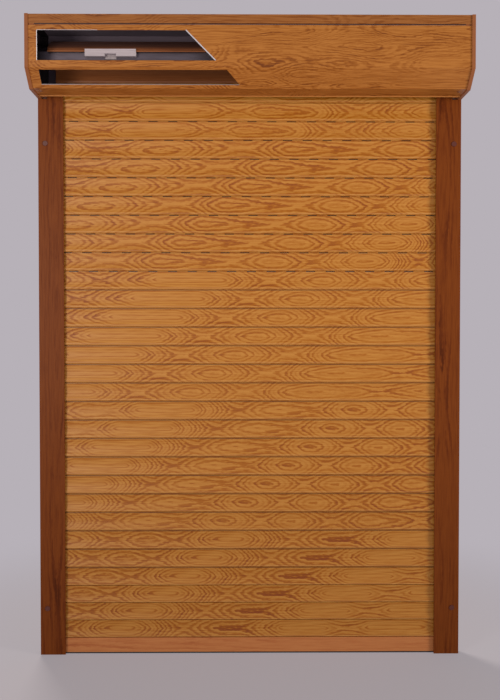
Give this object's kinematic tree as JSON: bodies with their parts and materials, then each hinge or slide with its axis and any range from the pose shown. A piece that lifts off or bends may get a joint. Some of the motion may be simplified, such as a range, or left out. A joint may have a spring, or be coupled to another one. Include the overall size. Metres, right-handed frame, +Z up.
{
  "type": "roller shutter",
  "caption": "Front-mounted window roller shutter: sloped box with display windows, octagonal motor tube, guide rails, wood-decor slat curtain and bottom bar.",
  "frame": {"origin": "centre of the four rail fixings, on the mounting plane at the back of the rails", "axes": "+X along the width, -Y the front face, +Z up"},
  "size_m": [0.9, 0.141, 1.3284],
  "materials": {
    "oak_foil": "satin wood-decor foil on rolled aluminium",
    "rail_foil": "satin wood-decor foil on extruded aluminium",
    "brown_plastic": "moulded, fine matt",
    "black_plastic": "moulded, fine matt",
    "grey_plastic": "extruded, satin",
    "zinc_steel": "zinc plated",
    "spring_steel": "rolled",
    "motor_paint": "powder coat",
    "seal_rubber": "extruded"
  },
  "bodies": {
    "frame": {"bearing_bush": "grey_plastic", "end_cap_left": "oak_foil", "end_cap_right": "oak_foil", "front_cover": "oak_foil", "guide_rail_left": "rail_foil", "guide_rail_right": "rail_foil", "guide_strips_left": "black_plastic", "guide_strips_right": "black_plastic", "inlet_funnel_left": "black_plastic", "inlet_funnel_right": "black_plastic", "motor_body": "motor_paint", "motor_bracket": "zinc_steel", "motor_head": "black_plastic", "rail_caps": "brown_plastic", "top_back_sheet": "oak_foil", "turning_slats": "oak_foil"},
    "bottom_bar": {"bottom_bar": "oak_foil", "bottom_seal": "seal_rubber", "bar_stops": "seal_rubber"},
    "roller": {"roller_tube": "zinc_steel", "tube_plug": "black_plastic", "drive_wheel": "black_plastic", "motor_crown": "black_plastic", "top_slat": "oak_foil", "hanger_clip_left": "grey_plastic", "hanger_clip_right": "grey_plastic", "hanger_strap_left": "spring_steel", "hanger_strap_right": "spring_steel"},
    "slat_01": {"slat_01": "oak_foil"},
    "slat_02": {"slat_02": "oak_foil"},
    "slat_03": {"slat_03": "oak_foil"},
    "slat_04": {"slat_04": "oak_foil"},
    "slat_05": {"slat_05": "oak_foil"},
    "slat_06": {"slat_06": "oak_foil"},
    "slat_07": {"slat_07": "oak_foil"},
    "slat_08": {"slat_08": "oak_foil"},
    "slat_09": {"slat_09": "oak_foil"},
    "slat_10": {"slat_10": "oak_foil"},
    "slat_11": {"slat_11": "oak_foil"},
    "slat_12": {"slat_12": "oak_foil"},
    "slat_13": {"slat_13": "oak_foil"},
    "slat_14": {"slat_14": "oak_foil"},
    "slat_15": {"slat_15": "oak_foil"},
    "slat_16": {"slat_16": "oak_foil"},
    "slat_17": {"slat_17": "oak_foil"},
    "slat_18": {"slat_18": "oak_foil"},
    "slat_19": {"slat_19": "oak_foil"},
    "slat_20": {"slat_20": "oak_foil"},
    "slat_21": {"slat_21": "oak_foil"},
    "slat_22": {"slat_22": "oak_foil"},
    "slat_23": {"slat_23": "oak_foil"},
    "slat_24": {"slat_24": "oak_foil"},
    "slat_25": {"slat_25": "oak_foil"},
    "slat_26": {"slat_26": "oak_foil"},
    "slat_27": {"slat_27": "oak_foil"},
    "slat_28": {"slat_28": "oak_foil"},
    "slat_29": {"slat_29": "oak_foil"},
    "slat_30": {"slat_30": "oak_foil"}
  },
  "joints": [
    {"name": "curtain_lift", "type": "slide", "parent": "frame", "child": "bottom_bar", "axis": [0, 0, 1], "range_m": [0, 1.174], "deforming": ["turning_slats"]},
    {"name": "roller_spin", "type": "hinge", "parent": "frame", "child": "roller", "pos_m": [0, -0.0705, 0.662], "axis": [1, 0, 0], "range_deg": [0, 1440]},
    {"name": "slat_01_rise", "type": "slide", "parent": "frame", "child": "slat_01", "axis": [0, 0, 1], "range_m": [0, 1.1773], "deforming": ["slat_01"]},
    {"name": "slat_02_rise", "type": "slide", "parent": "frame", "child": "slat_02", "axis": [0, 0, 1], "range_m": [0, 1.14016], "deforming": ["slat_02"]},
    {"name": "slat_03_rise", "type": "slide", "parent": "frame", "child": "slat_03", "axis": [0, 0, 1], "range_m": [0, 1.10302], "deforming": ["slat_03"]},
    {"name": "slat_04_rise", "type": "slide", "parent": "frame", "child": "slat_04", "axis": [0, 0, 1], "range_m": [0, 1.06588], "deforming": ["slat_04"]},
    {"name": "slat_05_rise", "type": "slide", "parent": "frame", "child": "slat_05", "axis": [0, 0, 1], "range_m": [0, 1.02644], "deforming": ["slat_05"]},
    {"name": "slat_06_rise", "type": "slide", "parent": "frame", "child": "slat_06", "axis": [0, 0, 1], "range_m": [0, 0.987], "deforming": ["slat_06"]},
    {"name": "slat_07_rise", "type": "slide", "parent": "frame", "child": "slat_07", "axis": [0, 0, 1], "range_m": [0, 0.94756], "deforming": ["slat_07"]},
    {"name": "slat_08_rise", "type": "slide", "parent": "frame", "child": "slat_08", "axis": [0, 0, 1], "range_m": [0, 0.90812], "deforming": ["slat_08"]},
    {"name": "slat_09_rise", "type": "slide", "parent": "frame", "child": "slat_09", "axis": [0, 0, 1], "range_m": [0, 0.86868], "deforming": ["slat_09"]},
    {"name": "slat_10_rise", "type": "slide", "parent": "frame", "child": "slat_10", "axis": [0, 0, 1], "range_m": [0, 0.82924], "deforming": ["slat_10"]},
    {"name": "slat_11_rise", "type": "slide", "parent": "frame", "child": "slat_11", "axis": [0, 0, 1], "range_m": [0, 0.7898], "deforming": ["slat_11"]},
    {"name": "slat_12_rise", "type": "slide", "parent": "frame", "child": "slat_12", "axis": [0, 0, 1], "range_m": [0, 0.75036], "deforming": ["slat_12"]},
    {"name": "slat_13_rise", "type": "slide", "parent": "frame", "child": "slat_13", "axis": [0, 0, 1], "range_m": [0, 0.71092], "deforming": ["slat_13"]},
    {"name": "slat_14_rise", "type": "slide", "parent": "frame", "child": "slat_14", "axis": [0, 0, 1], "range_m": [0, 0.67148], "deforming": ["slat_14"]},
    {"name": "slat_15_rise", "type": "slide", "parent": "frame", "child": "slat_15", "axis": [0, 0, 1], "range_m": [0, 0.63204], "deforming": ["slat_15"]},
    {"name": "slat_16_rise", "type": "slide", "parent": "frame", "child": "slat_16", "axis": [0, 0, 1], "range_m": [0, 0.5926], "deforming": ["slat_16"]},
    {"name": "slat_17_rise", "type": "slide", "parent": "frame", "child": "slat_17", "axis": [0, 0, 1], "range_m": [0, 0.55316], "deforming": ["slat_17"]},
    {"name": "slat_18_rise", "type": "slide", "parent": "frame", "child": "slat_18", "axis": [0, 0, 1], "range_m": [0, 0.51372], "deforming": ["slat_18"]},
    {"name": "slat_19_rise", "type": "slide", "parent": "frame", "child": "slat_19", "axis": [0, 0, 1], "range_m": [0, 0.47428], "deforming": ["slat_19"]},
    {"name": "slat_20_rise", "type": "slide", "parent": "frame", "child": "slat_20", "axis": [0, 0, 1], "range_m": [0, 0.43484], "deforming": ["slat_20"]},
    {"name": "slat_21_rise", "type": "slide", "parent": "frame", "child": "slat_21", "axis": [0, 0, 1], "range_m": [0, 0.3954], "deforming": ["slat_21"]},
    {"name": "slat_22_rise", "type": "slide", "parent": "frame", "child": "slat_22", "axis": [0, 0, 1], "range_m": [0, 0.35596], "deforming": ["slat_22"]},
    {"name": "slat_23_rise", "type": "slide", "parent": "frame", "child": "slat_23", "axis": [0, 0, 1], "range_m": [0, 0.31652], "deforming": ["slat_23"]},
    {"name": "slat_24_rise", "type": "slide", "parent": "frame", "child": "slat_24", "axis": [0, 0, 1], "range_m": [0, 0.27708], "deforming": ["slat_24"]},
    {"name": "slat_25_rise", "type": "slide", "parent": "frame", "child": "slat_25", "axis": [0, 0, 1], "range_m": [0, 0.23764], "deforming": ["slat_25"]},
    {"name": "slat_26_rise", "type": "slide", "parent": "frame", "child": "slat_26", "axis": [0, 0, 1], "range_m": [0, 0.1982], "deforming": ["slat_26"]},
    {"name": "slat_27_rise", "type": "slide", "parent": "frame", "child": "slat_27", "axis": [0, 0, 1], "range_m": [0, 0.15876], "deforming": ["slat_27"]},
    {"name": "slat_28_rise", "type": "slide", "parent": "frame", "child": "slat_28", "axis": [0, 0, 1], "range_m": [0, 0.11932], "deforming": ["slat_28"]},
    {"name": "slat_29_rise", "type": "slide", "parent": "frame", "child": "slat_29", "axis": [0, 0, 1], "range_m": [0, 0.07988], "deforming": ["slat_29"]},
    {"name": "slat_30_rise", "type": "slide", "parent": "frame", "child": "slat_30", "axis": [0, 0, 1], "range_m": [0, 0.04044], "deforming": ["slat_30"]}
  ],
  "couplings": [
    {"joint": "roller_spin", "follows": "curtain_lift", "rad_per_m": 21.408},
    {"joint": "slat_01_rise", "follows": "curtain_lift", "ratio": 1.002},
    {"joint": "slat_02_rise", "follows": "curtain_lift", "ratio": 0.97032},
    {"joint": "slat_03_rise", "follows": "curtain_lift", "ratio": 0.93869},
    {"joint": "slat_04_rise", "follows": "curtain_lift", "ratio": 0.90705},
    {"joint": "slat_05_rise", "follows": "curtain_lift", "ratio": 0.87346},
    {"joint": "slat_06_rise", "follows": "curtain_lift", "ratio": 0.83986},
    {"joint": "slat_07_rise", "follows": "curtain_lift", "ratio": 0.80627},
    {"joint": "slat_08_rise", "follows": "curtain_lift", "ratio": 0.77268},
    {"joint": "slat_09_rise", "follows": "curtain_lift", "ratio": 0.73908},
    {"joint": "slat_10_rise", "follows": "curtain_lift", "ratio": 0.70549},
    {"joint": "slat_11_rise", "follows": "curtain_lift", "ratio": 0.67189},
    {"joint": "slat_12_rise", "follows": "curtain_lift", "ratio": 0.6383},
    {"joint": "slat_13_rise", "follows": "curtain_lift", "ratio": 0.6047},
    {"joint": "slat_14_rise", "follows": "curtain_lift", "ratio": 0.57111},
    {"joint": "slat_15_rise", "follows": "curtain_lift", "ratio": 0.53751},
    {"joint": "slat_16_rise", "follows": "curtain_lift", "ratio": 0.50392},
    {"joint": "slat_17_rise", "follows": "curtain_lift", "ratio": 0.47032},
    {"joint": "slat_18_rise", "follows": "curtain_lift", "ratio": 0.43673},
    {"joint": "slat_19_rise", "follows": "curtain_lift", "ratio": 0.40314},
    {"joint": "slat_20_rise", "follows": "curtain_lift", "ratio": 0.36954},
    {"joint": "slat_21_rise", "follows": "curtain_lift", "ratio": 0.33594},
    {"joint": "slat_22_rise", "follows": "curtain_lift", "ratio": 0.30235},
    {"joint": "slat_23_rise", "follows": "curtain_lift", "ratio": 0.26876},
    {"joint": "slat_24_rise", "follows": "curtain_lift", "ratio": 0.23516},
    {"joint": "slat_25_rise", "follows": "curtain_lift", "ratio": 0.20157},
    {"joint": "slat_26_rise", "follows": "curtain_lift", "ratio": 0.16797},
    {"joint": "slat_27_rise", "follows": "curtain_lift", "ratio": 0.13438},
    {"joint": "slat_28_rise", "follows": "curtain_lift", "ratio": 0.10078},
    {"joint": "slat_29_rise", "follows": "curtain_lift", "ratio": 0.067189},
    {"joint": "slat_30_rise", "follows": "curtain_lift", "ratio": 0.033595}
  ]
}
